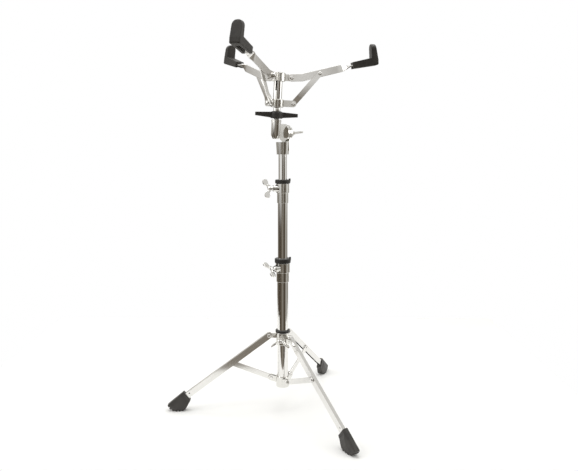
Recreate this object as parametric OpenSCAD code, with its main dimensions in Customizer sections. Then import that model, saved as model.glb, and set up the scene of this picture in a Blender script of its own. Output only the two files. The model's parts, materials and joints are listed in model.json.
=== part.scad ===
// Snare drum stand: folding tripod, three-stage telescoping column,
// friction disc tilter and a three-arm basket with rubber grips.
// Millimetres, +Z up, the floor at z = 0.
// Each leg, brace, arm and strut is drawn in its own radial plane: X outwards, Z up.

/* [Column] */
// Sideways distance from the middle of the footprint to the column
column_x = 26; // [0:1:60]
// Depthwise distance from the middle of the footprint to the column
column_y = -4; // [-40:1:40]
// Outside diameter of the lower tube
lower_tube_d = 25.4; // [24.8:0.1:26]
// Outside diameter of the middle tube
middle_tube_d = 22.2; // [21.6:0.1:22.4]
// Outside diameter of the upper tube
upper_tube_d = 19.05; // [18.5:0.05:19.2]
// Wall of each tube
tube_wall = 1.2; // [1:0.1:1.4]
// Height of the lower tube's bottom end
lower_tube_z = 66; // [60:1:70]
// Height where the lower tube ends, inside its clamp
lower_clamp_z = 351; // [340:1:380]
// Height where the middle tube ends, inside its clamp
upper_clamp_z = 533; // [500:1:540]
// Length of middle tube held inside the lower tube
middle_overlap = 150; // [130:1:155]
// Length of upper tube held inside the middle tube
upper_overlap = 172; // [150:1:180]

/* [Tripod] */
// Compass angles of the left, front and back legs about the column
leg_angles = [183.2, -56.8, 63.2]; // [0:1:360]
// Radius of the leg pivots on the sliding collar
leg_pivot_r = 32; // [31:0.5:33]
// Height of the leg pivots on the sliding collar
leg_pivot_z = 179; // [175:1:182]
// Radius of the joint between leg and brace
brace_joint_r = 122; // [115:1:125]
// Height of the joint between leg and brace
brace_joint_z = 112.5; // [110:0.5:115]
// Radius of the brace pivots on the bottom bracket
brace_pivot_r = 27.5; // [27:0.5:29]
// Height of the brace pivots on the bottom bracket
brace_pivot_z = 74.7; // [72:0.1:76]
// Depth of the leg channel
leg_depth = 14; // [13:0.5:15]
// Width of the leg channel
leg_width = 8; // [8:0.5:11]
// Width of a brace strap
brace_depth = 12; // [10:0.5:13]
// Thickness of a brace strap
brace_t = 3; // [2:0.5:4]

/* [Tilter] */
// Height of the tilt axis
tilt_z = 645; // [644:1:650]
// Compass angle of the tilt axis
tilt_angle = 40; // [0:1:90]
// Lean of the basket away from upright
tilt_lean = 4.6; // [0:0.1:20]
// Distance from the column axis to the basket post, along the tilt axis
post_offset = 20; // [19:0.5:24]
// Diameter of the two friction discs
disc_d = 36; // [30:1:38]

/* [Basket] */
// Compass angles of the right, near and far arms about the post
arm_angles = [6.5, -111.5, 126.5]; // [0:1:360]
// Radius of the arm pivots on the hub
arm_pivot_r = 29; // [28:0.5:31]
// Height of the hub's middle above the tilt axis
hub_h = 119; // [116:1:121]
// Radius of the joint between arm and strut
strut_joint_r = 90; // [85:1:95]
// Height of the joint between arm and strut above the tilt axis
strut_joint_h = 132; // [129:1:134]
// Radius of the strut pivots on the yoke
strut_pivot_r = 35; // [34:0.5:36]
// Height of the strut pivots above the tilt axis
strut_pivot_h = 64; // [62:1:65]
// Radius of the outer corner of a grip
grip_r = 217; // [214:1:222]
// Height of the outer corner of a grip above the tilt axis
grip_h = 157; // [154:1:160]
// Height of a grip's upright pad
pad_height = 43; // [38:1:46]
// Width of a grip
grip_width = 22; // [19:1:24]
// Half span of the basket nut's wings
nut_reach = 48; // [40:1:52]

/* [Hidden] */
$fn = 64;
// Running clearance on radius between a shaft and its hole
run = 0.05;
// Gap between flat faces that move past each other
gap = 0.4;
// Pivot pin radius
pin_r = 2.5;
// Rivet head radius and height
head_r = 4.2;
head_h = 1.6;
// Wall of the leg channel
channel_wall = 1.5;
// Height of the sliding collar's underside and top
collar_z = 158;
collar_top_z = 187;
// Direction of a leg, from pivot to joint, as an angle and a length
leg_run = brace_joint_r - leg_pivot_r;
leg_fall = leg_pivot_z - brace_joint_z;
leg_slope = atan2(-leg_fall, leg_run);
// Distances along the leg axis from its pivot
boot_start = 240;
leg_length = 254;
// Brace sits beside the leg on its clockwise side
brace_y1 = -leg_width / 2 - gap;
brace_y0 = brace_y1 - brace_t;
// Arm bar section and the place of the quarter twist
arm_t = 3;
arm_depth = 16;
twist_start_r = 126;
twist_end_r = 160;
arm_bend_r = 52;
// Strut section: beside the arm at the top, inside the yoke's ears at the bottom
strut_t = 2.5;
strut_depth = 12;
strut_side_y = -(arm_t / 2 + gap + strut_t / 2);
// Post parts
rod_d = 12;
sleeve_d = 19.05;
sleeve_bore_d = 16.2;
socket_d = 21;
yoke_low = 55;
yoke_high = 72;
hub_low = 110;
hub_high = 128;
nut_low = 32;
nut_high = 45.5;

// ---- frames ----
module at_column() {
    translate([column_x, column_y, 0]) children();
}

module leg_frame(index) {
    at_column() rotate([0, 0, leg_angles[index]]) children();
}

// X along the tilt axis, origin where it crosses the column
module tilter_frame() {
    at_column() translate([0, 0, tilt_z]) rotate([0, 0, tilt_angle]) children();
}

// Origin on the tilt axis, Z up the leaning basket post
module post_frame() {
    tilter_frame() rotate([tilt_lean, 0, 0]) translate([-post_offset, 0, 0])
        rotate([0, 0, -tilt_angle]) children();
}

module arm_frame(index) {
    post_frame() rotate([0, 0, arm_angles[index]]) children();
}

// ---- shapes ----
// Flat outline in the radial plane, given thickness from y0 to y1
module plate(y0, y1) {
    translate([0, y1, 0]) rotate([90, 0, 0]) linear_extrude(height = y1 - y0) children();
}

// Bar with round ends between two points of a plane
module bar_2d(start, end, depth) {
    reach = end - start;
    angle = atan2(reach[1], reach[0]);
    translate(start) rotate([0, 0, angle]) {
        translate([0, -depth / 2]) square([norm(reach), depth]);
        circle(d = depth);
        translate([norm(reach), 0]) circle(d = depth);
    }
}

module ring(outer_r, inner_r, z0, z1) {
    translate([0, 0, z0]) difference() {
        cylinder(r = outer_r, h = z1 - z0);
        translate([0, 0, -1]) cylinder(r = inner_r, h = z1 - z0 + 2);
    }
}

// Ring with rounded outer edges
module soft_ring(outer_r, inner_r, z0, z1, edge) {
    rotate_extrude() {
        translate([inner_r, z0]) square([outer_r - inner_r - edge, z1 - z0]);
        translate([inner_r, z0 + edge]) square([outer_r - inner_r, z1 - z0 - 2 * edge]);
        translate([outer_r - edge, z0 + edge]) circle(r = edge);
        translate([outer_r - edge, z1 - edge]) circle(r = edge);
    }
}

// Round bar along Y from y0 to y1
module cross_bar(r, point, y0, y1) {
    translate([point[0], y1, point[1]]) rotate([90, 0, 0]) cylinder(r = r, h = y1 - y0);
}

// Round bar along X from x0 to x1
module long_bar(r, x0, x1) {
    translate([x0, 0, 0]) rotate([0, 90, 0]) cylinder(r = r, h = x1 - x0);
}

// Domed rivet head on the outside of a plate: side is +1 or -1 along Y
module rivet_head(point, y, side) {
    translate([point[0], y, point[1]]) rotate([-90 * side, 0, 0]) {
        cylinder(r = head_r, h = head_h * 0.5);
        translate([0, 0, head_h * 0.5]) cylinder(r1 = head_r, r2 = head_r * 0.6, h = head_h * 0.5);
    }
}

// Two swept wings in the XZ plane, joined across the axis
module wings(reach, sweep, root, depth, t) {
    plate(-t / 2, t / 2)
        for (side = [-1, 1]) {
            bar_2d([root, 0], [root + sweep * 0.6, side * reach * 0.55], depth * 0.75);
            bar_2d([root + sweep * 0.6, side * reach * 0.55],
                [root + sweep, side * (reach - depth / 2)], depth);
        }
}

// Wing bolt along +X: its shank ends at zero and its barrel starts there
module wing_bolt(shank, barrel, reach, sweep, depth) {
    long_bar(pin_r, -shank, 1);
    long_bar(4.6, 0, barrel);
    wings(reach, sweep, barrel - 3, depth, 3.4);
}

// ---- tripod, fixed parts ----
module lower_tube() {
    color("silver") at_column()
        ring(lower_tube_d / 2, lower_tube_d / 2 - tube_wall, lower_tube_z, lower_clamp_z);
}

bracket_low = 56;
bracket_high = 80;
bracket_ear_gap = brace_t / 2 + gap;
bracket_ear_t = 2.4;
brace_mid_y = (brace_y0 + brace_y1) / 2;

module bottom_bracket() {
    color("gainsboro") difference() {
        union() {
            at_column() {
                ring(15.6, lower_tube_d / 2, bracket_low, bracket_high);
                ring(15.6, 6, bracket_low, lower_tube_z);
            }
            for (i = [0:2])
                leg_frame(i)
                    for (side = [-1, 1])
                        translate([0, brace_mid_y + side * (bracket_ear_gap + bracket_ear_t / 2), 0])
                            plate(-bracket_ear_t / 2, bracket_ear_t / 2)
                                bar_2d([10, brace_pivot_z - 6], [brace_pivot_r, brace_pivot_z], 13);
        }
        at_column()
            translate([0, 0, lower_tube_z]) cylinder(d = lower_tube_d, h = bracket_high);
        for (i = [0:2])
            leg_frame(i) cross_bar(pin_r, [brace_pivot_r, brace_pivot_z], -20, 10);
    }
}

module bracket_pins() {
    ear = bracket_ear_gap + bracket_ear_t;
    color("silver")
        for (i = [0:2])
            leg_frame(i) {
                cross_bar(pin_r, [brace_pivot_r, brace_pivot_z], brace_mid_y - ear, brace_mid_y + ear);
                rivet_head([brace_pivot_r, brace_pivot_z], brace_mid_y - ear, -1);
                rivet_head([brace_pivot_r, brace_pivot_z], brace_mid_y + ear, 1);
            }
}

// ---- column clamps ----
clamp_lug_x = 24;
clamp_slot = 2.4;

// Clamp casting on the top of a tube, its lug along +X, with the split behind the lug
module clamp_body(tube_d, top_z, sleeve_drop, flange_r, lug_h) {
    difference() {
        union() {
            soft_ring(tube_d / 2 + 1.6, tube_d / 2, top_z - sleeve_drop, top_z - lug_h + 2, 0.8);
            soft_ring(flange_r, tube_d / 2, top_z - lug_h, top_z, 1);
            translate([0, 0, top_z - lug_h / 2]) difference() {
                rotate([0, 90, 0]) cylinder(r1 = lug_h / 2, r2 = lug_h / 2 - 4, h = clamp_lug_x);
                translate([0, 0, -lug_h]) cylinder(d = tube_d + 1, h = 2 * lug_h);
            }
        }
        translate([0, -clamp_slot / 2, top_z - lug_h + 4])
            cube([clamp_lug_x + 1, clamp_slot, lug_h]);
        translate([0, 0, top_z - lug_h - sleeve_drop]) cylinder(d = tube_d, h = 2 * sleeve_drop + lug_h);
        translate([tube_d / 2 - 2, 0, top_z - lug_h / 2]) long_bar(pin_r + run, 0, clamp_lug_x);
    }
}

lower_bolt_angle = 222;
upper_bolt_angle = 205;
collar_bolt_angle = -98;
lower_lug_h = 22;
upper_lug_h = 21;
bolt_shank = 9;

module lower_clamp() {
    color("gainsboro") at_column() rotate([0, 0, lower_bolt_angle])
        clamp_body(lower_tube_d, lower_clamp_z, 44, 16.2, lower_lug_h);
}

// Nylon ring that guides the next tube; it sits on the clamp and its lip enters the tube
module guide_bushing(outer_d, inner_d, flange_r, z0, height) {
    color("#2b2926") at_column() difference() {
        union() {
            soft_ring(flange_r, inner_d / 2 + run, z0, z0 + height, 2);
            translate([flange_r - 1.5, 0, z0 + height * 0.5]) cylinder(r = 2.2, h = height * 0.75);
        }
        translate([0, 0, z0 - 1]) cylinder(r = inner_d / 2 + run, h = height * 2);
    }
}

module lower_bushing() {
    guide_bushing(lower_tube_d, middle_tube_d, 18.4, lower_clamp_z, 11);
}

module column_wing_bolt(angle, top_z, lug_h, spin) {
    color("gainsboro") at_column() rotate([0, 0, angle])
        translate([clamp_lug_x + gap, 0, top_z - lug_h / 2]) rotate([spin, 0, 0])
            wing_bolt(bolt_shank, 11, 22, 8, 13);
}

module lower_wing_bolt() {
    column_wing_bolt(lower_bolt_angle, lower_clamp_z, lower_lug_h, 52);
}

module middle_tube() {
    color("silver") at_column()
        ring(middle_tube_d / 2, middle_tube_d / 2 - tube_wall,
            lower_clamp_z - middle_overlap, upper_clamp_z);
}

module upper_clamp() {
    color("gainsboro") at_column() rotate([0, 0, upper_bolt_angle])
        clamp_body(middle_tube_d, upper_clamp_z, 44, 14.6, upper_lug_h);
}

module upper_bushing() {
    guide_bushing(middle_tube_d, upper_tube_d, 17.2, upper_clamp_z, 9);
}

module upper_wing_bolt() {
    column_wing_bolt(upper_bolt_angle, upper_clamp_z, upper_lug_h, 24);
}

// ---- tripod, sliding collar ----
collar_r = 16.4;
collar_ear_t = leg_width - 2 * channel_wall - 2 * gap;
collar_boss_r = 8;
collar_boss_x = 24;
collar_boss_z = 174;

module collar() {
    color("gainsboro") difference() {
        union() {
            at_column() {
                soft_ring(collar_r, lower_tube_d / 2 + 2 * run, collar_z, collar_top_z, 1.5);
                rotate([0, 0, collar_bolt_angle]) translate([0, 0, collar_boss_z])
                    long_bar(collar_boss_r, 0, collar_boss_x);
            }
            for (i = [0:2])
                leg_frame(i) plate(-collar_ear_t / 2, collar_ear_t / 2)
                    bar_2d([12, leg_pivot_z - 1], [leg_pivot_r, leg_pivot_z], 10);
        }
        at_column() translate([0, 0, collar_z - 1])
            cylinder(r = lower_tube_d / 2 + 2 * run, h = collar_top_z);
        for (i = [0:2])
            leg_frame(i) cross_bar(pin_r, [leg_pivot_r, leg_pivot_z], -10, 10);
        at_column() rotate([0, 0, collar_bolt_angle])
            translate([0, 0, collar_boss_z]) long_bar(pin_r + run, 10, collar_boss_x + 1);
    }
}

module collar_bushing() {
    color("#2b2926") at_column()
        soft_ring(17, lower_tube_d / 2 + 2 * run, collar_top_z, collar_top_z + 6, 1.8);
}

module collar_wing_bolt() {
    color("gainsboro") at_column() rotate([0, 0, collar_bolt_angle])
        translate([collar_boss_x + gap, 0, collar_boss_z]) rotate([90, 0, 0])
            wing_bolt(8, 12, 20, 8, 9);
}

module leg_pins() {
    color("silver")
        for (i = [0:2])
            leg_frame(i) {
                cross_bar(pin_r, [leg_pivot_r, leg_pivot_z], -leg_width / 2 - gap, leg_width / 2 + gap);
                rivet_head([leg_pivot_r, leg_pivot_z], -leg_width / 2 - gap, -1);
                rivet_head([leg_pivot_r, leg_pivot_z], leg_width / 2 + gap, 1);
            }
}

// ---- tripod, legs ----
leg_pivot = [leg_pivot_r, leg_pivot_z];
leg_aim = [cos(leg_slope), sin(leg_slope)];
leg_up = [-sin(leg_slope), cos(leg_slope)];
stud_hole_s = 232;

// Channel open underneath, round at the pivot and square in the boot
module leg_envelope(depth, width, lift, lead, tail) {
    start = leg_pivot + leg_up * lift - leg_aim * lead;
    plate(-width / 2, width / 2) {
        translate(leg_pivot) rotate([0, 0, leg_slope])
            translate([-lead, lift - depth / 2]) square([leg_length + lead + tail, depth]);
        translate(start) circle(d = depth);
    }
}

module leg(index) {
    color("silver") leg_frame(index) difference() {
        leg_envelope(leg_depth, leg_width, 0, 0, 0);
        leg_envelope(leg_depth, leg_width - 2 * channel_wall, -channel_wall, 12, 1);
        cross_bar(pin_r + run, leg_pivot, -leg_width, leg_width);
        cross_bar(1.6, leg_pivot + leg_aim * stud_hole_s + leg_up * 2, -leg_width, leg_width);
    }
}

module leg_left() { leg(0); }
module leg_front() { leg(1); }
module leg_back() { leg(2); }

// Fan-shaped boot: side outline in the radial plane, cut by a wedge that widens downwards
// and by a section with a narrow rounded back
boot_top_half = 12.9;
boot_top_width = leg_width + 4;
boot_foot_width = leg_width + 9;
boot_foot_length = 60;
boot_back_width = leg_width;

// Closes a half outline with its own mirror image across X
module mirrored(outline) {
    last = len(outline) - 1;
    polygon(concat(outline, [for (i = [last:-1:0]) [outline[i][0], -outline[i][1]]]));
}

module boot(index) {
    top = leg_pivot + leg_aim * boot_start;
    top_outer = top + leg_up * boot_top_half;
    top_inner = top - leg_up * boot_top_half;
    half = boot_foot_width / 2;
    color("#3f3c38") leg_frame(index) difference() {
        intersection() {
            plate(-boot_foot_width, boot_foot_width)
                polygon([top_inner, top_outer, [271, 15], [268, 8], [261, 2.2],
                    [254, 0], [242, 0], [236, 0.8], [230, 3.6]]);
            translate([top[0], 0, top[1]]) rotate([0, -leg_slope, 0])
                translate([0, 0, -boot_foot_length]) linear_extrude(height = 2 * boot_foot_length)
                    mirrored([[-1, boot_top_width / 2], [14, half - 1], [26, half],
                        [boot_foot_length - 20, half], [boot_foot_length - 10, half - 2],
                        [boot_foot_length, half / 2]]);
            translate([top[0], 0, top[1]]) rotate([0, -leg_slope, 0])
                rotate([90, 0, 90]) translate([0, 0, -2])
                    linear_extrude(height = boot_foot_length + 2) rotate([0, 0, 90])
                        mirrored([[-boot_foot_length, half], [-4, half], [7, half - 2],
                            [14, boot_back_width / 2], [18, boot_back_width / 2 - 2]]);
        }
        leg_envelope(leg_depth, leg_width, 0, 0, 0);
    }
}

module boot_left() { boot(0); }
module boot_front() { boot(1); }
module boot_back() { boot(2); }

module brace(index) {
    color("silver") leg_frame(index) difference() {
        plate(brace_y0, brace_y1)
            bar_2d([brace_pivot_r, brace_pivot_z], [brace_joint_r, brace_joint_z], brace_depth);
        cross_bar(pin_r + run, [brace_pivot_r, brace_pivot_z], brace_y0 - 1, brace_y1 + 1);
        cross_bar(pin_r, [brace_joint_r, brace_joint_z], brace_y0 - 1, brace_y1 + 1);
    }
}

module brace_left() { brace(0); }
module brace_front() { brace(1); }
module brace_back() { brace(2); }

module brace_rivet(index) {
    joint = [brace_joint_r, brace_joint_z];
    color("white") leg_frame(index) {
        cross_bar(pin_r, joint, brace_y0, brace_y1);
        rivet_head(joint, brace_y0, -1);
    }
}

module brace_rivet_left() { brace_rivet(0); }
module brace_rivet_front() { brace_rivet(1); }
module brace_rivet_back() { brace_rivet(2); }

// ---- upper tube and tilter ----
socket_low = 598;
socket_high = 625;
disc_face = 8.2;
disc_t = 6;
tilter_bolt_r = 4;

module upper_tube() {
    color("silver") at_column()
        ring(upper_tube_d / 2, upper_tube_d / 2 - tube_wall,
            upper_clamp_z - upper_overlap, socket_high - 6);
}

// Shallow radial serrations around the rim of a friction disc
module rim_notches(x0, x1) {
    notch_count = 24;
    for (k = [0:notch_count - 1])
        rotate([360 / notch_count * k, 0, 0])
            translate([x0, -0.8, disc_d / 2 - 1.6]) cube([x1 - x0, 1.6, 3]);
}

module tilter_lower() {
    neck_half = 13;
    color("gainsboro") difference() {
        union() {
            at_column() translate([0, 0, socket_low])
                cylinder(r1 = 13.4, r2 = 15, h = socket_high - socket_low);
            tilter_frame() {
                long_bar(disc_d / 2, disc_face + gap, disc_face + gap + disc_t);
                // Web from the socket up to the back of the disc
                translate([disc_face + gap, -neck_half, socket_low + 8 - tilt_z])
                    cube([disc_t, 2 * neck_half, tilt_z - socket_low - 8]);
            }
        }
        at_column() translate([0, 0, socket_low - 1]) cylinder(d = upper_tube_d, h = socket_high - socket_low - 5);
        tilter_frame() {
            long_bar(tilter_bolt_r + run, 0, 40);
            rim_notches(disc_face + gap - 1, disc_face + gap + 1.4);
        }
    }
}

module tilter_upper() {
    color("gainsboro") tilter_frame() rotate([tilt_lean, 0, 0]) difference() {
        union() {
            long_bar(disc_d / 2, disc_face - disc_t, disc_face);
            // Neck from the disc to the socket
            translate([-post_offset, -9, -10]) cube([post_offset + disc_face - disc_t, 18, 30]);
            translate([-post_offset, 0, -5]) cylinder(d = socket_d, h = 34);
            translate([-post_offset, 0, -13]) cylinder(r1 = 6.5, r2 = socket_d / 2, h = 8);
            translate([-post_offset, 0, 24]) cylinder(d = socket_d + 1.2, h = 3);
        }
        translate([-post_offset, 0, -5]) cylinder(d = rod_d, h = 40);
        long_bar(tilter_bolt_r, -post_offset + socket_d / 2 - 1, 20);
        rim_notches(disc_face - 1.4, disc_face + 1);
    }
}

// Bolt from inside the upper half, through both discs, to the wing nut
bolt_tip_x = 30;
module tilter_bolt() {
    color("silver") tilter_frame() rotate([tilt_lean, 0, 0])
        long_bar(tilter_bolt_r, -post_offset + socket_d / 2 - 1, bolt_tip_x);
}

nut_seat_x = disc_face + 2 * gap + disc_t;
module tilter_wing_nut() {
    color("gainsboro") tilter_frame() difference() {
        union() {
            long_bar(8.5, nut_seat_x, nut_seat_x + 3);
            long_bar(6.6, nut_seat_x + 3, nut_seat_x + 15);
            rotate([84, 0, 0]) wings(26, 10, nut_seat_x + 11, 8, 4);
        }
        long_bar(tilter_bolt_r + run, 0, bolt_tip_x + gap);
    }
}

// ---- basket post ----
rod_top = 122.5;
module basket_rod() {
    color("silver") post_frame() difference() {
        translate([0, 0, -5]) cylinder(d = rod_d, h = rod_top + 5);
        rotate([0, 0, slot_side]) translate([0, 0, hub_h]) long_bar(cross_pin_r, -rod_d, rod_d);
    }
}

// Domed nut that closes the top of the rod inside the sleeve
module rod_end_nut() {
    color("silver") post_frame() translate([0, 0, rod_top]) {
        cylinder(d = rod_d, h = 2);
        translate([0, 0, 2]) cylinder(r1 = rod_d / 2, r2 = 3, h = 2);
    }
}

nut_spin = 14;
// Wing nut that screws along the rod and lifts the yoke
module basket_nut() {
    hub_radius = 13;
    color("#2b2926") post_frame() rotate([0, 0, nut_spin]) difference() {
        union() {
            translate([0, 0, nut_low]) cylinder(r = hub_radius, h = nut_high - nut_low);
            translate([0, 0, nut_high - 1]) cylinder(d = 14.6, h = yoke_low - gap - nut_high + 1);
            for (side = [0, 180])
                rotate([0, 0, side]) plate(-6, 6)
                    polygon([[0, nut_low + 0.5], [nut_reach - 1, nut_low + 4.5],
                        [nut_reach, nut_low + 5.5], [nut_reach, nut_low + 10],
                        [nut_reach - 1, nut_low + 11], [0, nut_high]]);
        }
        translate([0, 0, nut_low - 1]) cylinder(r = rod_d / 2 + run, h = yoke_low);
    }
}

yoke_ear_gap = strut_t / 2 + gap;
yoke_ear_t = 2.4;
module yoke() {
    color("gainsboro") post_frame() difference() {
        union() {
            soft_ring(14, rod_d / 2 + 2 * run, yoke_low, yoke_high, 1.2);
            for (i = [0:2])
                rotate([0, 0, arm_angles[i]])
                    for (side = [-1, 1])
                        translate([0, side * (yoke_ear_gap + yoke_ear_t / 2), 0])
                            plate(-yoke_ear_t / 2, yoke_ear_t / 2)
                                bar_2d([8, strut_pivot_h], [strut_pivot_r, strut_pivot_h], 14);
        }
        translate([0, 0, yoke_low + 4]) cylinder(d = sleeve_d, h = 40);
        translate([0, 0, yoke_low - 10]) cylinder(r = rod_d / 2 + 2 * run, h = 40);
        for (i = [0:2])
            rotate([0, 0, arm_angles[i]]) cross_bar(pin_r, [strut_pivot_r, strut_pivot_h], -10, 10);
    }
}

// Sleeve around the rod, fixed in the yoke; it slides up through the hub on a slotted side
slot_side = 67.6;
sleeve_top = 129;
yoke_travel = 26;
cross_pin_r = 2;
module yoke_sleeve() {
    color("silver") post_frame() difference() {
        ring(sleeve_d / 2, sleeve_bore_d / 2, yoke_low + 4, sleeve_top);
        rotate([0, 0, slot_side]) translate([0, 0, hub_h - yoke_travel - cross_pin_r - 2 * gap])
            translate([-20, -cross_pin_r - gap, 0])
                cube([40, 2 * (cross_pin_r + gap), yoke_travel + 2 * cross_pin_r + 4 * gap]);
    }
}

module yoke_pins() {
    ear = yoke_ear_gap + yoke_ear_t;
    color("silver")
        for (i = [0:2])
            arm_frame(i) {
                cross_bar(pin_r, [strut_pivot_r, strut_pivot_h], -ear, ear);
                rivet_head([strut_pivot_r, strut_pivot_h], -ear, -1);
                rivet_head([strut_pivot_r, strut_pivot_h], ear, 1);
            }
}

hub_ear_y0 = arm_t / 2 + gap;
hub_ear_t = 4;
hub_r = 15;
module hub() {
    flute_count = 12;
    color("gainsboro") post_frame() difference() {
        union() {
            soft_ring(hub_r, sleeve_d / 2 + 2 * run, hub_low, hub_high, 1);
            for (i = [0:2])
                rotate([0, 0, arm_angles[i]])
                    plate(hub_ear_y0, hub_ear_y0 + hub_ear_t)
                        bar_2d([8, hub_h], [arm_pivot_r, hub_h], 14);
        }
        for (k = [0:flute_count - 1])
            rotate([0, 0, 360 / flute_count * k])
                translate([hub_r + 0.6, 0, hub_low - 1]) cylinder(r = 1.6, h = 30);
        translate([0, 0, hub_low - 1]) cylinder(r = sleeve_d / 2 + 2 * run, h = 30);
        for (i = [0:2])
            rotate([0, 0, arm_angles[i]]) cross_bar(pin_r, [arm_pivot_r, hub_h], -1, 10);
        rotate([0, 0, slot_side]) translate([0, 0, hub_h]) long_bar(cross_pin_r, -20, 20);
    }
}

// Pin that ties the hub to the rod through the sleeve's slots
module hub_cross_pin() {
    color("silver") post_frame() rotate([0, 0, slot_side]) translate([0, 0, hub_h])
        long_bar(cross_pin_r, -hub_r + 1, hub_r - 1);
}

module hub_pins() {
    back = hub_ear_y0 + hub_ear_t;
    front = -arm_t / 2 - gap;
    color("silver")
        for (i = [0:2])
            arm_frame(i) {
                cross_bar(pin_r, [arm_pivot_r, hub_h], front, back);
                rivet_head([arm_pivot_r, hub_h], front, -1);
                rivet_head([arm_pivot_r, hub_h], back, 1);
            }
}

// ---- arms, struts and grips ----
// The arm climbs from its pivot, bends, twists a quarter turn and runs flat into the grip
arm_pivot = [arm_pivot_r, hub_h];
arm_bend = [arm_bend_r, hub_h + 2];
arm_climb = atan2(strut_joint_h - arm_bend[1], strut_joint_r - arm_bend[0]);
function arm_point(r) = arm_bend + [r - arm_bend_r, (r - arm_bend_r) * tan(arm_climb)];
twist_start = arm_point(twist_start_r);
twist_end = arm_point(twist_end_r);
// Steel core of the grip: flat run, then upright
core_corner = [grip_r - 8, grip_h + 7];
core_top_h = grip_h + pad_height - 5;
core_lean = 10;

module arm(index) {
    flat_aim = core_corner - twist_end;
    color("silver") arm_frame(index) difference() {
        union() {
            plate(-arm_t / 2, arm_t / 2) {
                bar_2d(arm_pivot, arm_bend, arm_depth);
                bar_2d(arm_bend, arm_bend + 10 * [cos(arm_climb), sin(arm_climb)], arm_depth);
                translate(arm_bend) rotate([0, 0, arm_climb]) translate([0, -arm_depth / 2])
                    square([norm(twist_start - arm_bend) + 0.5, arm_depth]);
            }
            translate([twist_start_r, 0, twist_start[1]]) rotate([0, 90 - arm_climb, 0])
                linear_extrude(height = norm(twist_end - twist_start), twist = -90, slices = 12)
                    square([arm_depth, arm_t], center = true);
            translate([twist_end[0], 0, twist_end[1]])
                rotate([0, -atan2(flat_aim[1], flat_aim[0]), 0])
                    translate([-1, -arm_depth / 2, -arm_t / 2])
                        cube([norm(flat_aim) + 1, arm_depth, arm_t]);
            translate([core_corner[0], -arm_depth / 2, core_corner[1] - arm_t / 2])
                rotate([0, -core_lean, 0]) translate([-arm_t, 0, 0])
                    cube([arm_t, arm_depth, core_top_h - core_corner[1]]);
        }
        cross_bar(pin_r + run, arm_pivot, -5, 5);
    }
}

function toward(angle, distance) = distance * [cos(angle), sin(angle)];

module arm_right() { arm(0); }
module arm_near() { arm(1); }
module arm_far() { arm(2); }

// Strap in its own frame: X along it, bent sideways near the yoke
strut_low = [strut_pivot_r, strut_pivot_h];
strut_high = [strut_joint_r, strut_joint_h];
strut_length = norm(strut_high - strut_low);
strut_slope = atan2(strut_high[1] - strut_low[1], strut_high[0] - strut_low[0]);
joggle_start = 10;
joggle_end = 21;

module strut(index) {
    color("silver") arm_frame(index)
        translate([strut_low[0], 0, strut_low[1]]) rotate([0, -strut_slope, 0])
            difference() {
                intersection() {
                    translate([0, 0, -strut_depth / 2]) linear_extrude(height = strut_depth)
                        polygon([[-strut_depth, -strut_t / 2], [joggle_start, -strut_t / 2],
                            [joggle_end, strut_side_y - strut_t / 2],
                            [strut_length + strut_depth, strut_side_y - strut_t / 2],
                            [strut_length + strut_depth, strut_side_y + strut_t / 2],
                            [joggle_end, strut_side_y + strut_t / 2],
                            [joggle_start, strut_t / 2], [-strut_depth, strut_t / 2]]);
                    plate(-10, 10) bar_2d([0, 0], [strut_length, 0], strut_depth);
                }
                cross_bar(pin_r + run, [0, 0], -10, 10);
                cross_bar(pin_r, [strut_length, 0], -10, 10);
            }
}

module strut_right() { strut(0); }
module strut_near() { strut(1); }
module strut_far() { strut(2); }

module strut_rivet(index) {
    outer = strut_side_y - strut_t / 2;
    color("white") arm_frame(index) {
        cross_bar(pin_r, strut_high, outer, outer + strut_t);
        rivet_head(strut_high, outer, -1);
    }
}

module strut_rivet_right() { strut_rivet(0); }
module strut_rivet_near() { strut_rivet(1); }
module strut_rivet_far() { strut_rivet(2); }

// Rubber L: an upright pad with a round top on a foot that wraps the steel
grip_foot_length = 58;
grip_foot_depth = 13;
module grip(index) {
    foot_start = core_corner - toward(flat_slope(), grip_foot_length - 8);
    pad_top = grip_h + pad_height;
    color("#3f3c38") arm_frame(index) difference() {
        intersection() {
            plate(-grip_width, grip_width)
                polygon([foot_start + [1, -grip_foot_depth / 2], [grip_r - 2, grip_h],
                    [grip_r, grip_h + 2], [grip_r - 1, grip_h + 11], [grip_r - 10, pad_top],
                    [grip_r - 12, pad_top + 1], [grip_r - 19, pad_top + 1],
                    [grip_r - 20, pad_top], [grip_r - 16, core_corner[1] + 6],
                    foot_start + [-1, grip_foot_depth / 2]]);
            translate([grip_r - 80, 0, 0]) rotate([0, 90, 0]) linear_extrude(height = 100)
                union() {
                    translate([grip_width / 2 - pad_top, 0]) circle(d = grip_width);
                    translate([grip_width / 2 - pad_top, -grip_width / 2])
                        square([pad_height + 20, grip_width]);
                }
        }
        arm_core();
    }
}

function flat_slope() = atan2(core_corner[1] - twist_end[1], core_corner[0] - twist_end[0]);

// The steel inside the grip, as one cutter
module arm_core() {
    translate([twist_end[0], 0, twist_end[1]]) rotate([0, -flat_slope(), 0])
        translate([-1, -arm_depth / 2, -arm_t / 2])
            cube([norm(core_corner - twist_end) + 1, arm_depth, arm_t]);
    translate([core_corner[0], -arm_depth / 2, core_corner[1] - arm_t / 2])
        rotate([0, -core_lean, 0]) translate([-arm_t, 0, 0])
            cube([arm_t, arm_depth, core_top_h - core_corner[1]]);
}

module grip_right() { grip(0); }
module grip_near() { grip(1); }
module grip_far() { grip(2); }

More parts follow.
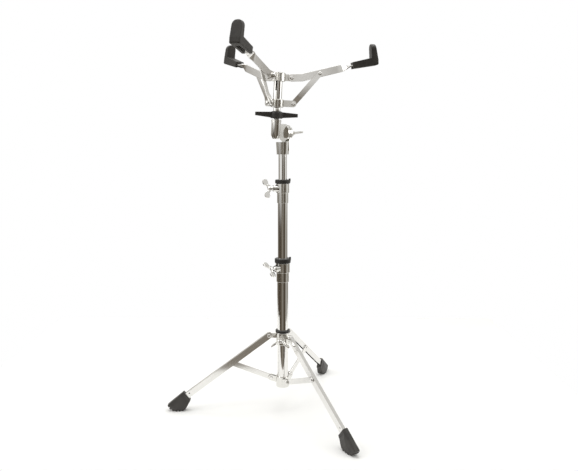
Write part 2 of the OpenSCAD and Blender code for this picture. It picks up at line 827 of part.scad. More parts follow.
lower_tube();
bottom_bracket();
bracket_pins();
lower_clamp();
lower_bushing();
lower_wing_bolt();
collar();
collar_bushing();
collar_wing_bolt();
leg_pins();
leg_left();
leg_front();
leg_back();
boot_left();
boot_front();
boot_back();
brace_left();
brace_front();
brace_back();
brace_rivet_left();
brace_rivet_front();
brace_rivet_back();
middle_tube();
upper_clamp();
upper_bushing();
upper_wing_bolt();
upper_tube();
tilter_lower();
tilter_bolt();
tilter_wing_nut();
tilter_upper();
basket_rod();
rod_end_nut();
basket_nut();
yoke();
yoke_sleeve();
yoke_pins();
hub();
hub_cross_pin();
hub_pins();
arm_right();
arm_near();
arm_far();
strut_right();
strut_near();
strut_far();
strut_rivet_right();
strut_rivet_near();
strut_rivet_far();
grip_right();
grip_near();
grip_far();
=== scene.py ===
"""Looks of the snare drum stand: chromed tube, strip and castings, black rubber and nylon.
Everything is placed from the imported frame: joint positions, joint axes and node boxes."""

import json
import math

import bmesh
import bpy
from mathutils import Matrix, Vector


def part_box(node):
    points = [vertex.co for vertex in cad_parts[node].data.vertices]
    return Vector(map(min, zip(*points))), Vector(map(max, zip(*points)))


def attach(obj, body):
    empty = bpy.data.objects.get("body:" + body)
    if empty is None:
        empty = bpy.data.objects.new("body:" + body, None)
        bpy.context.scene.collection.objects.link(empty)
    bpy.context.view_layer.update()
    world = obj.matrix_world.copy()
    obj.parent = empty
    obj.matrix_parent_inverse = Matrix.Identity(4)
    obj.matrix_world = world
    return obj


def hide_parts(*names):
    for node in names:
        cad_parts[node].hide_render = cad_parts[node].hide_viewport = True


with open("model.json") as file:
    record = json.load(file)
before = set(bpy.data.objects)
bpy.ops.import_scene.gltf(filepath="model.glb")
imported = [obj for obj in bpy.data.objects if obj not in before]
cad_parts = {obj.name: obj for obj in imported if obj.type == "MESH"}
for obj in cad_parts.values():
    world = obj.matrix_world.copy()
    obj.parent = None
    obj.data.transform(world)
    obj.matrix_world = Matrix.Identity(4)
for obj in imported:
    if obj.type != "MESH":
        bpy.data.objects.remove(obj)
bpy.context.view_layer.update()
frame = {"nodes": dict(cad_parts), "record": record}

MM = 0.001
RECORD = frame["record"]
JOINTS = {joint["name"]: joint for joint in RECORD["behaviour"]["joints"]}
BODY_OF = {node: body for body, nodes in RECORD["behaviour"]["bodies"].items() for node in nodes}
LEGS = ("left", "front", "back")
ARMS = ("right", "near", "far")
UP = Vector((0, 0, 1))


def facing(x_axis, z_axis):
    """Rotation that brings X and Z onto the given axes; Y is Z cross X."""
    x_axis, z_axis = x_axis.normalized(), z_axis.normalized()
    return Matrix((x_axis, z_axis.cross(x_axis), z_axis)).transposed().to_4x4()


def frame_at(origin, x_axis, z_axis):
    """Placing matrix for shapes drawn in millimetres; the origin is in metres."""
    return Matrix.Translation(origin) @ facing(x_axis, z_axis) @ Matrix.Scale(MM, 4)


def joint_point(name):
    return Vector(JOINTS[name]["pos_m"])


def joint_axis(name):
    return Vector(JOINTS[name]["axis"])


COLUMN_XY = joint_point("basket_tilt").xy
COLUMN = frame_at(COLUMN_XY.to_3d(), Vector((1, 0, 0)), UP)
POST_UP = joint_axis("basket_slide")
TILT_AXIS = joint_axis("basket_tilt")
POST_OFFSET = 20
POST = frame_at(joint_point("basket_tilt") - TILT_AXIS * POST_OFFSET * MM, TILT_AXIS, POST_UP)


def leg_frame(name):
    """X outwards along the floor from the leg's pivot, Z up."""
    hinge = "leg_" + name + "_fold"
    return frame_at(joint_point(hinge), joint_axis(hinge).cross(UP), UP)


def arm_frame(name):
    """X outwards from the arm's pivot, Z along the basket post."""
    hinge = "arm_" + name + "_close"
    return frame_at(joint_point(hinge), POST_UP.cross(joint_axis(hinge)), POST_UP)


def along(frame_matrix, shift, x_axis, z_axis):
    """A frame inside another one: shift and axes given in the outer frame."""
    return frame_matrix @ Matrix.Translation(shift) @ facing(Vector(x_axis), Vector(z_axis))


# ---------------------------------------------------------------- materials

def node_material(name):
    """An empty node material and its Principled shader."""
    material = bpy.data.materials.new(name)
    material.use_nodes = True
    tree = material.node_tree
    return material, tree, tree.nodes["Principled BSDF"]


def noise(tree, scale, detail=4.0, roughness=0.55, stretch=(1, 1, 1)):
    """Noise over the object's own coordinates, which a rest-pose mesh carries with it."""
    place = tree.nodes.new("ShaderNodeTexCoord")
    mapping = tree.nodes.new("ShaderNodeMapping")
    mapping.inputs["Scale"].default_value = stretch
    texture = tree.nodes.new("ShaderNodeTexNoise")
    texture.inputs["Scale"].default_value = scale
    texture.inputs["Detail"].default_value = detail
    texture.inputs["Roughness"].default_value = roughness
    tree.links.new(place.outputs["Object"], mapping.inputs["Vector"])
    tree.links.new(mapping.outputs["Vector"], texture.inputs["Vector"])
    return texture


def ramp(tree, source, stops):
    """Colour ramp from a 0..1 value; stops are (position, colour)."""
    node = tree.nodes.new("ShaderNodeValToRGB")
    while len(node.color_ramp.elements) < len(stops):
        node.color_ramp.elements.new(0.5)
    for element, (position, colour) in zip(node.color_ramp.elements, stops):
        element.position = position
        element.color = (*colour, 1) if len(colour) == 3 else colour
    tree.links.new(source, node.inputs["Fac"])
    return node


def span(tree, source, low, high):
    """Maps a 0..1 value onto low..high."""
    node = tree.nodes.new("ShaderNodeMapRange")
    node.inputs["To Min"].default_value = low
    node.inputs["To Max"].default_value = high
    tree.links.new(source, node.inputs["Value"])
    return node.outputs["Result"]


def bump(tree, shader, height, strength, distance):
    node = tree.nodes.new("ShaderNodeBump")
    node.inputs["Strength"].default_value = strength
    node.inputs["Distance"].default_value = distance
    tree.links.new(height, node.inputs["Height"])
    tree.links.new(node.outputs["Normal"], shader.inputs["Normal"])


def chrome(name, tint, low, high, waviness, grain_stretch):
    """Plated steel: near-mirror, with polish marks in the roughness and a faint ripple."""
    material, tree, shader = node_material(name)
    shader.inputs["Metallic"].default_value = 1.0
    haze = noise(tree, 55, detail=6, stretch=grain_stretch)
    shade = ramp(tree, haze.outputs["Fac"], [
        (0.30, tuple(channel * 0.94 for channel in tint)), (0.70, tint)])
    tree.links.new(shade.outputs["Color"], shader.inputs["Base Color"])
    scratches = noise(tree, 420, detail=3, stretch=grain_stretch)
    tree.links.new(span(tree, scratches.outputs["Fac"], low, high), shader.inputs["Roughness"])
    ripple = noise(tree, 34, detail=2, roughness=0.4)
    bump(tree, shader, ripple.outputs["Fac"], waviness, 0.4 * MM)
    return material


def moulded(name, dark, light, rough_low, rough_high, grain, depth, sheen):
    """Moulded rubber or nylon: fine pebble, dusty high spots and a soft sheen."""
    material, tree, shader = node_material(name)
    cloud = noise(tree, 38, detail=5)
    shade = ramp(tree, cloud.outputs["Fac"], [(0.35, dark), (0.68, light)])
    tree.links.new(shade.outputs["Color"], shader.inputs["Base Color"])
    tree.links.new(span(tree, cloud.outputs["Fac"], rough_low, rough_high), shader.inputs["Roughness"])
    shader.inputs["Specular IOR Level"].default_value = 0.45
    shader.inputs["Sheen Weight"].default_value = sheen
    shader.inputs["Sheen Roughness"].default_value = 0.5
    pebble = noise(tree, grain, detail=3, roughness=0.6)
    bump(tree, shader, pebble.outputs["Fac"], 0.35, depth)
    return material


CHROME_TUBE = chrome("chrome_tube", (0.84, 0.83, 0.81), 0.05, 0.11, 0.02, (1, 1, 0.15))
CHROME_STRIP = chrome("chrome_strip", (0.82, 0.81, 0.79), 0.08, 0.17, 0.05, (1, 1, 1))
CHROME_CAST = chrome("chrome_cast", (0.80, 0.79, 0.76), 0.09, 0.20, 0.10, (1, 1, 1))
CHROME_FASTENER = chrome("chrome_fastener", (0.85, 0.84, 0.82), 0.07, 0.15, 0.04, (1, 1, 1))
RUBBER = moulded("rubber", (0.024, 0.021, 0.019), (0.046, 0.042, 0.037),
                 0.34, 0.52, grain=900, depth=0.12 * MM, sheen=0.06)
NYLON = moulded("nylon", (0.018, 0.017, 0.015), (0.032, 0.030, 0.027),
                0.30, 0.46, grain=1200, depth=0.05 * MM, sheen=0.05)
NUT_BLACK = moulded("nut_black", (0.022, 0.020, 0.018), (0.040, 0.037, 0.033),
                    0.34, 0.52, grain=1000, depth=0.08 * MM, sheen=0.08)
BY_SLOT = {"chrome_tube": CHROME_TUBE, "chrome_strip": CHROME_STRIP, "chrome_cast": CHROME_CAST,
           "chrome_fastener": CHROME_FASTENER, "rubber": RUBBER, "nylon": NYLON, "nut_black": NUT_BLACK}
SLOT_OF = {part["node"]: part["material_slot"] for part in RECORD["subparts"]}


# ---------------------------------------------------------------- mesh helpers

def link_mesh(name, bm, material, smooth_angle=40):
    """Turns a bmesh into a shown object, smooth except at edges sharper than smooth_angle."""
    bmesh.ops.recalc_face_normals(bm, faces=bm.faces)
    for face in bm.faces:
        face.smooth = True
    for edge in bm.edges:
        edge.smooth = len(edge.link_faces) == 2 and edge.calc_face_angle(0) < math.radians(smooth_angle)
    mesh = bpy.data.meshes.new(name)
    bm.to_mesh(mesh)
    bm.free()
    mesh.materials.append(material)
    obj = bpy.data.objects.new(name, mesh)
    bpy.context.scene.collection.objects.link(obj)
    even_shading(obj)
    return obj


def even_shading(obj):
    """Lets the large faces set the normals, so flats and tubes mirror straight up to their edges."""
    weigh = obj.modifiers.new("even_shading", "WEIGHTED_NORMAL")
    weigh.mode = "FACE_AREA"
    weigh.weight = 100
    weigh.keep_sharp = True
    plain = obj.data
    graph = bpy.context.evaluated_depsgraph_get()
    obj.data = bpy.data.meshes.new_from_object(obj.evaluated_get(graph))
    obj.modifiers.clear()
    name = plain.name
    bpy.data.meshes.remove(plain)
    obj.data.name = name


def stand_for(obj, node, extra=()):
    """The piece rides on the node's body and stands for it: the node and any extra parts are hidden."""
    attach(obj, BODY_OF[node])
    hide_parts(node, *extra)
    return obj


def node_piece(node, bm, smooth_angle=40):
    """A finished piece in place of one CAD node."""
    return stand_for(link_mesh(node + "_look", bm, BY_SLOT[SLOT_OF[node]], smooth_angle), node)


def soft_copy(node, width, segments=2, angle=30):
    """A copy of a CAD node with edges sharper than angle rounded, as plating and tumbling leave them."""
    bm = bmesh.new()
    bm.from_mesh(frame["nodes"][node].data)
    bmesh.ops.remove_doubles(bm, verts=bm.verts, dist=0.002 * MM)
    bmesh.ops.dissolve_limit(bm, angle_limit=math.radians(0.6), verts=bm.verts, edges=bm.edges)
    sharp = [edge for edge in bm.edges
             if len(edge.link_faces) == 2 and edge.calc_face_angle(0) > math.radians(angle)]
    bmesh.ops.bevel(bm, geom=sharp, offset=width * MM, segments=segments, profile=0.5,
                    affect="EDGES", clamp_overlap=True)
    return node_piece(node, bm)


def loft(bm, rings, placing, closed=False):
    """Skins equal rings of points; closed joins the last ring to the first, else both ends are capped."""
    rows = [[bm.verts.new(placing @ Vector(point)) for point in ring] for ring in rings]
    pairs = list(zip(rows, rows[1:])) + ([(rows[-1], rows[0])] if closed else [])
    for low, high in pairs:
        for k in range(len(low)):
            m = (k + 1) % len(low)
            bm.faces.new((low[k], low[m], high[m], high[k]))
    if not closed:
        bm.faces.new(rows[0])
        bm.faces.new(rows[-1])


def prism(bm, outline, y0, y1, placing):
    """Solid from an outline in the XZ plane, between y0 and y1."""
    loft(bm, [[(x, y, z) for x, z in outline] for y in (y0, y1)], placing)


def turned(bm, profile, placing, steps=72, closed=False):
    """Solid of revolution about Z from (radius, height) points; closed makes a hollow ring."""
    rings = [[(radius * math.cos(math.tau * k / steps), radius * math.sin(math.tau * k / steps), height)
              for k in range(steps)] for radius, height in profile]
    loft(bm, rings, placing, closed)


def rounded_bar(half_y, half_z, radius, steps=4):
    """Rounded rectangle around the X axis as (y, z) points."""
    points = []
    for cy, cz, start in ((1, 1, 0), (-1, 1, 90), (-1, -1, 180), (1, -1, 270)):
        for k in range(steps + 1):
            angle = math.radians(start + 90 * k / steps)
            points.append((cy * (half_y - radius) + radius * math.cos(angle),
                           cz * (half_z - radius) + radius * math.sin(angle)))
    return points


def soften(name, node, bm, voxel, passes, keep=(), cut=(), extra=()):
    """Fuses the solids of bm, trims them by keep and cut, then remeshes and relaxes the edges,
    as a moulded or cast thing has them."""
    helpers = []

    def temporary(shape, label):
        mesh = bpy.data.meshes.new(label)
        bmesh.ops.recalc_face_normals(shape, faces=shape.faces)
        shape.to_mesh(mesh)
        shape.free()
        obj = bpy.data.objects.new(label, mesh)
        bpy.context.scene.collection.objects.link(obj)
        helpers.append(obj)
        return obj

    body = temporary(bm, "body")
    for operation, shapes in (("INTERSECT", keep), ("DIFFERENCE", cut)):
        for shape in shapes:
            trim = body.modifiers.new("trim", "BOOLEAN")
            trim.operation = operation
            trim.solver = "EXACT"
            trim.object = temporary(shape, "tool")
    remesh = body.modifiers.new("remesh", "REMESH")
    remesh.mode = "VOXEL"
    remesh.voxel_size = voxel * MM
    relax = body.modifiers.new("relax", "SMOOTH")
    relax.factor = 0.5
    relax.iterations = passes
    graph = bpy.context.evaluated_depsgraph_get()
    mesh = bpy.data.meshes.new_from_object(body.evaluated_get(graph))
    mesh.name = name
    mesh.materials.clear()
    mesh.materials.append(BY_SLOT[SLOT_OF[node]])
    for polygon in mesh.polygons:
        polygon.use_smooth = True
    obj = bpy.data.objects.new(name, mesh)
    bpy.context.scene.collection.objects.link(obj)
    for helper in helpers:
        data = helper.data
        bpy.data.objects.remove(helper)
        bpy.data.meshes.remove(data)
    return stand_for(obj, node, extra)


def solid_prism(outline, y0, y1, placing):
    bm = bmesh.new()
    prism(bm, outline, y0, y1, placing)
    return bm


# ---------------------------------------------------------------- column

def plain_tube(node, wall=1.2, lip=0.5):
    """Drawn tube with rolled lips at both ends, sized from the node's own box."""
    low, high = (Vector(corner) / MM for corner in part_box(node))
    outer, z0, z1 = (high.x - low.x) / 2, low.z, high.z
    profile = [(outer - wall, z0 + lip), (outer - wall / 2, z0), (outer - lip * 0.3, z0 + lip * 0.3),
               (outer, z0 + lip), (outer, z1 - lip), (outer - lip * 0.3, z1 - lip * 0.3),
               (outer - wall / 2, z1), (outer - wall, z1 - lip)]
    bm = bmesh.new()
    turned(bm, profile, COLUMN, steps=128, closed=True)
    node_piece(node, bm, 60)


for tube in ("lower_tube", "middle_tube", "upper_tube"):
    plain_tube(tube)


# ---------------------------------------------------------------- legs

BOOT_START = 240
LEG_SLOPE = math.radians(36.457)
LEG_AIM = Vector((math.cos(LEG_SLOPE), 0, -math.sin(LEG_SLOPE)))
LEG_UP = Vector((math.sin(LEG_SLOPE), 0, math.cos(LEG_SLOPE)))
LEG_PIVOT_R = 32
LEG_PIVOT_Z = 179


def boot(name):
    """Rubber boot: fan-shaped side, narrow rounded back and a tread cut into the sole."""
    local = leg_frame(name)
    radial = local @ Matrix.Translation((-LEG_PIVOT_R, 0, -LEG_PIVOT_Z))
    cuff = along(local, LEG_AIM * BOOT_START, LEG_AIM, LEG_UP)
    side = [(217.3, 26.0), (232.7, 46.8), (271, 15)]
    sole = [(271, 15), (268.5, 8), (262, 2.2), (254, 0), (242, 0), (236, 0.8), (230, 3.6)]
    lengths = [0]
    for (x0, z0), (x1, z1) in zip(sole, sole[1:]):
        lengths.append(lengths[-1] + math.hypot(x1 - x0, z1 - z0))
    ribs, depth = 6, 3.0
    for k in range(ribs):
        for part, sunk in ((0.10, 0), (0.62, 0), (0.66, depth), (0.98, depth)):
            goal = lengths[-1] * (k + part) / ribs
            i = max(j for j in range(len(sole) - 1) if lengths[j] <= goal)
            t = (goal - lengths[i]) / (lengths[i + 1] - lengths[i])
            (x0, z0), (x1, z1) = sole[i], sole[i + 1]
            inward = Vector((z1 - z0, x0 - x1)).normalized()
            x, z = x0 + (x1 - x0) * t, z0 + (z1 - z0) * t
            if sunk and k == ribs - 1 and part > 0.9:
                continue
            side.append((x + inward.x * sunk, z + inward.y * sunk))
    side.append(sole[-1])
    body = bmesh.new()
    prism(body, side, -15, 15, radial)
    wedge, section = bmesh.new(), bmesh.new()
    plan = [(-2, 6.5), (5.4, 6.7), (5.9, 6.1), (14, 7.5), (26, 8.5), (40, 8.5), (50, 7.0), (60, 4.3)]
    outline = plan + [(x, -y) for x, y in reversed(plan)]
    loft(wedge, [[(x, y, z) for x, y in outline] for z in (-60, 60)], cuff)
    arch = [(8.5, -60), (8.5, -4), (6.6, 7), (4.2, 14), (2.8, 18)]
    across = arch + [(-y, z) for y, z in reversed(arch)]
    loft(section, [[(x, y, z) for y, z in across] for x in (-3, 60)], cuff)
    soften("boot_" + name + "_look", "boot_" + name, body, 0.55, 2, keep=(wedge, section))


for leg in LEGS:
    boot(leg)


# ---------------------------------------------------------------- arms and grips

ARM_BEND = Vector((23, 0, 2))
ARM_CLIMB = math.radians(16.14)
ARM_HALF_THICKNESS = 1.5
ARM_HALF_DEPTH = 8
TWIST_START = 97
TWIST_END = 131
CORE_CORNER = Vector((180, 0, 45))
CORE_LEAN = math.radians(10)
CORE_TOP = 76
GRIP_HALF_WIDTH = 11


def arm_height(x):
    return ARM_BEND.z + (x - ARM_BEND.x) * math.tan(ARM_CLIMB)


def arm(name):
    """One bar: round end, slight bend, quarter twist, flat run and upturned end."""
    place = arm_frame(name)
    section = rounded_bar(ARM_HALF_THICKNESS, ARM_HALF_DEPTH, 0.7)
    rings = []

    def ring(centre, pitch, twist, scale=1.0):
        upward = Vector((-math.sin(pitch), 0, math.cos(pitch)))
        aside = Vector((0, 1, 0))
        turn_y = aside * math.cos(twist) + upward * math.sin(twist)
        turn_z = upward * math.cos(twist) - aside * math.sin(twist)
        rings.append([tuple(centre + turn_y * y + turn_z * z * scale) for y, z in section])

    lead = math.atan2(ARM_BEND.z, ARM_BEND.x)
    for k in range(9):
        angle = math.radians(90 - 90 * k / 8)
        back = Vector((-math.sin(angle) * ARM_HALF_DEPTH, 0, 0))
        ring(back, lead, 0, max(math.cos(angle), 0.06))
    for k in range(5):
        share = k / 4
        pitch = lead + (ARM_CLIMB - lead) * share
        past_bend = -5 + 10 * share
        ring(ARM_BEND + Vector((past_bend, 0, past_bend * math.tan(pitch))), pitch, 0)
    start = Vector((TWIST_START, 0, arm_height(TWIST_START)))
    finish = Vector((TWIST_END, 0, arm_height(TWIST_END)))
    flat = math.atan2(CORE_CORNER.z - finish.z, CORE_CORNER.x - finish.x)
    ring(start - Vector((4, 0, 4 * math.tan(ARM_CLIMB))), ARM_CLIMB, 0)
    for k in range(25):
        share = k / 24
        eased = share * share * (3 - 2 * share)
        ring(start.lerp(finish, share), ARM_CLIMB + (flat - ARM_CLIMB) * share, -math.pi / 2 * eased)
    bend = 4
    run = (CORE_CORNER - finish).normalized()
    rise = Vector((-math.sin(CORE_LEAN), 0, math.cos(CORE_LEAN)))
    before, after = CORE_CORNER - run * bend, CORE_CORNER + rise * bend
    ring(before, flat, -math.pi / 2)
    stand = math.pi / 2 + CORE_LEAN
    for k in range(1, 8):
        share = k / 8
        point = before.lerp(CORE_CORNER, share).lerp(CORE_CORNER.lerp(after, share), share)
        ring(point, flat + (stand - flat) * share, -math.pi / 2)
    ring(after, stand, -math.pi / 2)
    ring(CORE_CORNER + rise * ((CORE_TOP - CORE_CORNER.z) / rise.z), stand, -math.pi / 2)
    bm = bmesh.new()
    loft(bm, rings, place)
    node_piece("arm_" + name, bm, 50)


def grip(name):
    """Rubber L around the bar: upright with a round top, foot slotted underneath."""
    place = arm_frame(name)
    side = [(132.6, 26.9), (186, 38), (188, 40), (187, 49), (178.5, 80), (176, 81.6), (169.5, 81.6),
            (168, 80), (171.6, 52), (130, 40.2), (131.4, 34)]
    body = solid_prism(side, -GRIP_HALF_WIDTH, GRIP_HALF_WIDTH, place)
    top = []
    for k in range(25):
        angle = math.pi * k / 24
        top.append((GRIP_HALF_WIDTH * math.cos(angle), 70.6 + GRIP_HALF_WIDTH * math.sin(angle)))
    arch = [(GRIP_HALF_WIDTH, 10)] + top + [(-GRIP_HALF_WIDTH, 10)]
    keep = bmesh.new()
    loft(keep, [[(x, y, z) for y, z in arch] for x in (120, 200)], place)
    run = (CORE_CORNER - Vector((TWIST_END, 0, arm_height(TWIST_END)))).normalized()
    under = along(place, CORE_CORNER, run, Vector((-run.z, 0, run.x)))
    slot = solid_prism([(-60, -12), (-9, -12), (-7, -1.2), (-60, -1.2)], -4.6, 4.6, under)
    mouth = solid_prism([(-60, 1.0), (-44, 1.0), (-44, -1.0), (-60, -1.0)], -8.2, 8.2, under)
    soften("grip_" + name + "_look", "grip_" + name, body, 0.6, 5, keep=(keep,), cut=(slot, mouth))


for basket_arm in ARMS:
    arm(basket_arm)
    grip(basket_arm)


# ---------------------------------------------------------------- wing bolts and nuts

def bolt_frame(joint, seat, spin):
    """X along the bolt, origin on its seat, turned by spin degrees about the bolt."""
    axis = joint_axis(joint)
    side = UP.cross(axis).normalized()
    up = axis.cross(side)
    angle = math.radians(spin)
    upright = up * math.cos(angle) - side * math.sin(angle)
    return frame_at(joint_point(joint) + axis * seat * MM, axis, upright)


PADDLE = [(3.4, 0), (4.2, 4.4), (7.4, 7.6), (9.6, 10.4), (9.8, 17.0), (11.0, 20.6), (14.0, 22.2),
          (19.0, 22.0), (21.8, 19.6), (22.4, 14.4), (20.6, 9.8), (16.0, 6.6), (12.4, 3.6), (11.4, 0)]
PADDLE_SPAN = 22
BOLT_SEAT = 24.4


def wing_bolt(node, joint, seat, spin, droop=0.0, reach=1.0, shank=9):
    """Cast wing bolt: turned barrel and two broad paddles that may droop towards their tips."""
    place = bolt_frame(joint, seat, spin)
    bm = bmesh.new()
    lying = along(place, (0, 0, 0), (0, 0, -1), (1, 0, 0))
    turned(bm, [(5.2, 0), (5.4, 0.8), (4.8, 2.2), (4.4, 5), (4.6, 9), (3.6, 11.4), (0.4, 12.2)], lying, 40)
    turned(bm, [(2.5, -shank), (2.5, 1)], lying, 32)
    for side in (-1, 1):
        points = [(x, z * reach * side) for x, z in PADDLE]
        faces = [[(x, half - droop * (z / PADDLE_SPAN) ** 2, z) for x, z in points]
                 for half in (-1.75, 1.75)]
        loft(bm, faces, place)
        root = [(x, z * side) for x, z in ((3.2, 0), (5, 5.5), (8, 9), (13, 8.5), (11.6, 0))]
        prism(bm, root, -2.6, 2.6, place)
    soften(node + "_look", node, bm, 0.36, 6)


wing_bolt("upper_wing_bolt", "upper_bolt_spin", BOLT_SEAT, 24)
wing_bolt("lower_wing_bolt", "lower_bolt_spin", BOLT_SEAT, 52)
wing_bolt("collar_wing_bolt", "collar_bolt_spin", BOLT_SEAT, 90, droop=12, reach=0.95, shank=8)


def tilter_wing_nut():
    """Wing nut of the tilter: flanged barrel with two long tapering wings."""
    place = bolt_frame("tilter_nut_spin", 15, 84)
    lying = along(place, (0, 0, 0), (0, 0, -1), (1, 0, 0))
    bm = bmesh.new()
    turned(bm, [(8.2, 0), (8.5, 0.5), (8.5, 2.5), (7.4, 3.2), (6.6, 5), (6.4, 12), (5.6, 14.6),
                (3.4, 15.4), (0.4, 15.6)], lying, 48)
    for side in (-1, 1):
        wing = [(x, z * side) for x, z in (
            (4, 0), (5, 6), (8.5, 11), (13, 17), (17, 22.5), (20.5, 26), (23.5, 25.5), (24.2, 22),
            (22.5, 16), (19.5, 10), (16.5, 5), (14.5, 0))]
        prism(bm, wing, -2.1, 2.1, place)
        root = [(x, z * side) for x, z in ((3.5, 0), (5, 7), (9, 10.5), (15, 8.5), (14.6, 0))]
        prism(bm, root, -3.2, 3.2, place)
    soften("tilter_wing_nut_look", "tilter_wing_nut", bm, 0.38, 6)


tilter_wing_nut()


BLADE_REACH = 48
NUT_BORE = 6.05


def basket_nut():
    """Moulded wing nut under the yoke: turned hub, two tapering blades and a chromed neck above."""
    spin = math.radians(14) - math.atan2(TILT_AXIS.y, TILT_AXIS.x)
    turn = along(POST, (0, 0, 0), (math.cos(spin), math.sin(spin), 0), (0, 0, 1))
    bm = bmesh.new()
    hub = [(NUT_BORE, 31), (12.4, 31), (13.4, 32), (13.4, 42.5), (12.4, 45), (9.8, 46.6), (NUT_BORE, 46.6)]
    turned(bm, hub, turn, 64, closed=True)
    for side in (-1, 1):
        blade = [(12, 6.4), (34, 5.6), (46, 4.4), (47.6, 3.2), (BLADE_REACH, 0), (47.6, -3.2),
                 (46, -4.4), (34, -5.6), (12, -6.4)]

        def level(x, top):
            share = x / BLADE_REACH
            return (45.6 - 2.4 * share) if top else (31.4 + 4.4 * share)

        rows = [[(side * x, y, level(x, top)) for x, y in blade] for top in (False, True)]
        loft(bm, rows, turn)
    bore = bmesh.new()
    turned(bore, [(NUT_BORE, 20), (NUT_BORE, 60)], turn, 48)
    soften("basket_nut_look", "basket_nut", bm, 0.5, 4, cut=(bore,))
    neck = bmesh.new()
    turned(neck, [(6.3, 46.2), (7.5, 46.2), (7.8, 46.8), (7.8, 53.6), (7.2, 54.4), (6.3, 54.4)], turn, 64,
           closed=True)
    washer = link_mesh("nut_neck", neck, CHROME_FASTENER)
    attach(washer, BODY_OF["basket_nut"])


basket_nut()


def threaded_rod():
    """Basket rod with its thread cut as a true helix."""
    pitch, depth, radius = 1.75, 0.55, 6.0
    low, high, steps = -5.0, 122.5, 40
    rows = int((high - low) / (pitch / 6))
    rings = []
    for i in range(rows + 1):
        height = low + (high - low) * i / rows
        ring = []
        for k in range(steps):
            phase = (height / pitch - k / steps) % 1.0
            cut = depth * (1 - abs(2 * phase - 1))
            r = radius - (cut if low + 1 < height < high - 1 else depth)
            angle = math.tau * k / steps
            ring.append((r * math.cos(angle), r * math.sin(angle), height))
        rings.append(ring)
    bm = bmesh.new()
    loft(bm, rings, POST)
    node_piece("basket_rod", bm, 80)


threaded_rod()


# ---------------------------------------------------------------- castings, straps and pins

for part in ("lower_clamp", "upper_clamp", "collar", "bottom_bracket", "yoke", "hub",
             "tilter_lower", "tilter_upper"):
    soft_copy(part, 0.6, 3)
for part in ("lower_bushing", "upper_bushing", "collar_bushing", "yoke_sleeve"):
    soft_copy(part, 0.4)
for leg in LEGS:
    soft_copy("leg_" + leg, 0.6, 3)
    soft_copy("brace_" + leg, 0.5)
    soft_copy("brace_rivet_" + leg, 0.5, angle=20)
for basket_arm in ARMS:
    soft_copy("strut_" + basket_arm, 0.5)
    soft_copy("strut_rivet_" + basket_arm, 0.5, angle=20)
for part in ("leg_pins", "bracket_pins", "yoke_pins", "hub_pins", "tilter_bolt"):
    soft_copy(part, 0.5, angle=20)


# ---------------------------------------------------------------- stage

def make_stage():
    """Pale paper floor: it ends just in front of the stand, as a photographer's roll does."""
    floor_bm = bmesh.new()
    corners = [(-0.75, -0.27), (0.75, -0.27), (0.80, 0.75), (-0.80, 0.75)]
    floor_bm.faces.new([floor_bm.verts.new((x, y, 0)) for x, y in corners])
    material, tree, shader = node_material("pale_floor")
    grain = noise(tree, 3, detail=2)
    shade = ramp(tree, grain.outputs["Fac"], [(0.3, (0.93, 0.93, 0.925)), (0.7, (0.95, 0.95, 0.945))])
    tree.links.new(shade.outputs["Color"], shader.inputs["Base Color"])
    shader.inputs["Roughness"].default_value = 0.9
    shader.inputs["Specular IOR Level"].default_value = 0.1
    link_mesh("floor", floor_bm, material)


make_stage()


def soft_box(name, place, aim, width, height, power):
    data = bpy.data.lights.new(name, "AREA")
    data.shape = "RECTANGLE"
    data.size, data.size_y = width, height
    data.energy = power
    lamp = bpy.data.objects.new(name, data)
    bpy.context.scene.collection.objects.link(lamp)
    lamp.location = place
    lamp.rotation_euler = (Vector(aim) - Vector(place)).to_track_quat("-Z", "Y").to_euler()


soft_box("overhead", (0.0, 0.1, 2.3), (0.0, 0.0, 0.0), 2.0, 2.0, 25)
soft_box("left_box", (-1.9, -0.4, 1.5), (0.0, 0.0, 0.5), 1.0, 1.6, 10)
soft_box("right_box", (2.2, -0.4, 1.3), (0.0, 0.0, 0.5), 0.6, 1.4, 6)


def make_camera():
    """Stands in front of the column, a little above the upper clamp, tipped down a little."""
    distance, height, pitch = 1.258, 0.585, 7.72
    data = bpy.data.cameras.new("camera")
    camera = bpy.data.objects.new("camera", data)
    bpy.context.scene.collection.objects.link(camera)
    camera.location = (COLUMN_XY.x, COLUMN_XY.y - distance, height)
    camera.rotation_euler = (math.radians(90 - pitch), 0, 0)
    data.sensor_width = 36
    data.lens = 34.57
    data.shift_x = 0.0109
    bpy.context.scene.camera = camera


make_camera()


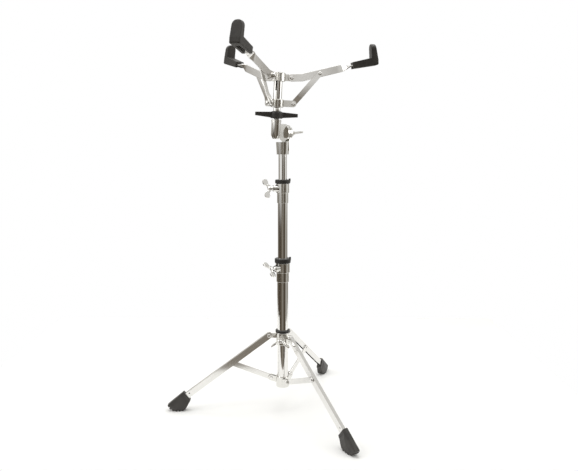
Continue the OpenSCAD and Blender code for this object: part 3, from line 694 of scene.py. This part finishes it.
def make_surround():
    """Photographer's cove as polished metal sees it: white walls, a dim room behind the camera."""
    world = bpy.data.worlds.new("studio")
    bpy.context.scene.world = world
    world.use_nodes = True
    tree = world.node_tree
    shade = tree.nodes["Background"]
    place = tree.nodes.new("ShaderNodeTexCoord")
    parts = tree.nodes.new("ShaderNodeSeparateXYZ")
    tree.links.new(place.outputs["Generated"], parts.inputs["Vector"])
    bearing = tree.nodes.new("ShaderNodeMath")
    bearing.operation = "ARCTAN2"
    tree.links.new(parts.outputs["X"], bearing.inputs[0])
    reverse = tree.nodes.new("ShaderNodeMath")
    reverse.operation = "MULTIPLY"
    reverse.inputs[1].default_value = -1
    tree.links.new(parts.outputs["Y"], reverse.inputs[0])
    tree.links.new(reverse.outputs["Value"], bearing.inputs[1])
    turn = tree.nodes.new("ShaderNodeMapRange")
    turn.inputs["From Min"].default_value = -math.pi
    turn.inputs["From Max"].default_value = math.pi
    tree.links.new(bearing.outputs["Value"], turn.inputs["Value"])
    # 0.5 is straight behind the camera, below 0.5 to its left and above to its right
    white = (0.95, 0.95, 0.94)
    bright = (0.80, 0.79, 0.77)
    pale = (0.72, 0.71, 0.68)
    mist = (0.50, 0.49, 0.46)
    dim = (0.25, 0.225, 0.19)
    brown = (0.125, 0.102, 0.074)
    dark = (0.060, 0.047, 0.033)
    overhead = (0.70, 0.695, 0.67, 1)
    backdrop = (1, 1, 1, 1)
    walls = ramp(tree, turn.outputs["Result"], [
        (0.02, pale), (0.12, dim), (0.20, mist), (0.26, dim), (0.30, white), (0.42, white), (0.445, dark),
        (0.49, brown), (0.505, dim), (0.525, brown), (0.535, pale), (0.546, white), (0.554, dim),
        (0.565, dark), (0.65, brown), (0.69, mist), (0.76, white), (0.90, dim), (0.98, pale)])
    ground = ramp(tree, turn.outputs["Result"], [
        (0.02, mist), (0.12, dim), (0.20, brown), (0.33, dark), (0.42, brown), (0.48, dim), (0.52, dim),
        (0.57, dark), (0.66, brown), (0.70, mist), (0.84, dim), (0.98, pale)])
    ceiling = ramp(tree, turn.outputs["Result"], [
        (0.02, pale), (0.12, mist), (0.188, dim), (0.197, bright), (0.36, pale), (0.42, bright),
        (0.455, mist), (0.475, pale), (0.51, mist), (0.525, dim), (0.54, bright), (0.552, mist),
        (0.60, pale), (0.66, mist), (0.72, pale), (0.80, bright), (0.869, pale), (0.877, dim),
        (0.89, mist), (0.98, pale)])
    level = tree.nodes.new("ShaderNodeMapRange")
    level.inputs["From Min"].default_value = -1
    level.inputs["From Max"].default_value = 1
    tree.links.new(parts.outputs["Z"], level.inputs["Value"])
    low = ramp(tree, level.outputs["Result"], [(0.44, (0, 0, 0)), (0.485, (1, 1, 1))])
    high = ramp(tree, level.outputs["Result"], [(0.499, (0, 0, 0)), (0.522, (1, 1, 1))])
    zenith = ramp(tree, level.outputs["Result"], [(0.66, (0, 0, 0)), (0.80, (1, 1, 1))])

    def blend(share, first, second):
        node = tree.nodes.new("ShaderNodeMix")
        node.data_type = "RGBA"
        tree.links.new(share, node.inputs["Factor"])
        tree.links.new(first, node.inputs["A"])
        if isinstance(second, tuple):
            node.inputs["B"].default_value = second
        else:
            tree.links.new(second, node.inputs["B"])
        return node.outputs["Result"]

    below = blend(low.outputs["Color"], ground.outputs["Color"], walls.outputs["Color"])
    room = blend(high.outputs["Color"], below, ceiling.outputs["Color"])
    room = blend(zenith.outputs["Color"], room, overhead)
    seen = tree.nodes.new("ShaderNodeLightPath")
    shown = blend(seen.outputs["Is Camera Ray"], room, backdrop)
    tree.links.new(shown, shade.inputs["Color"])
    shade.inputs["Strength"].default_value = 1.0


make_surround()
bpy.context.scene.view_settings.view_transform = "Standard"

for name, obj in frame["nodes"].items():
    for slot in obj.material_slots:
        slot.material = BY_SLOT[SLOT_OF[name]]
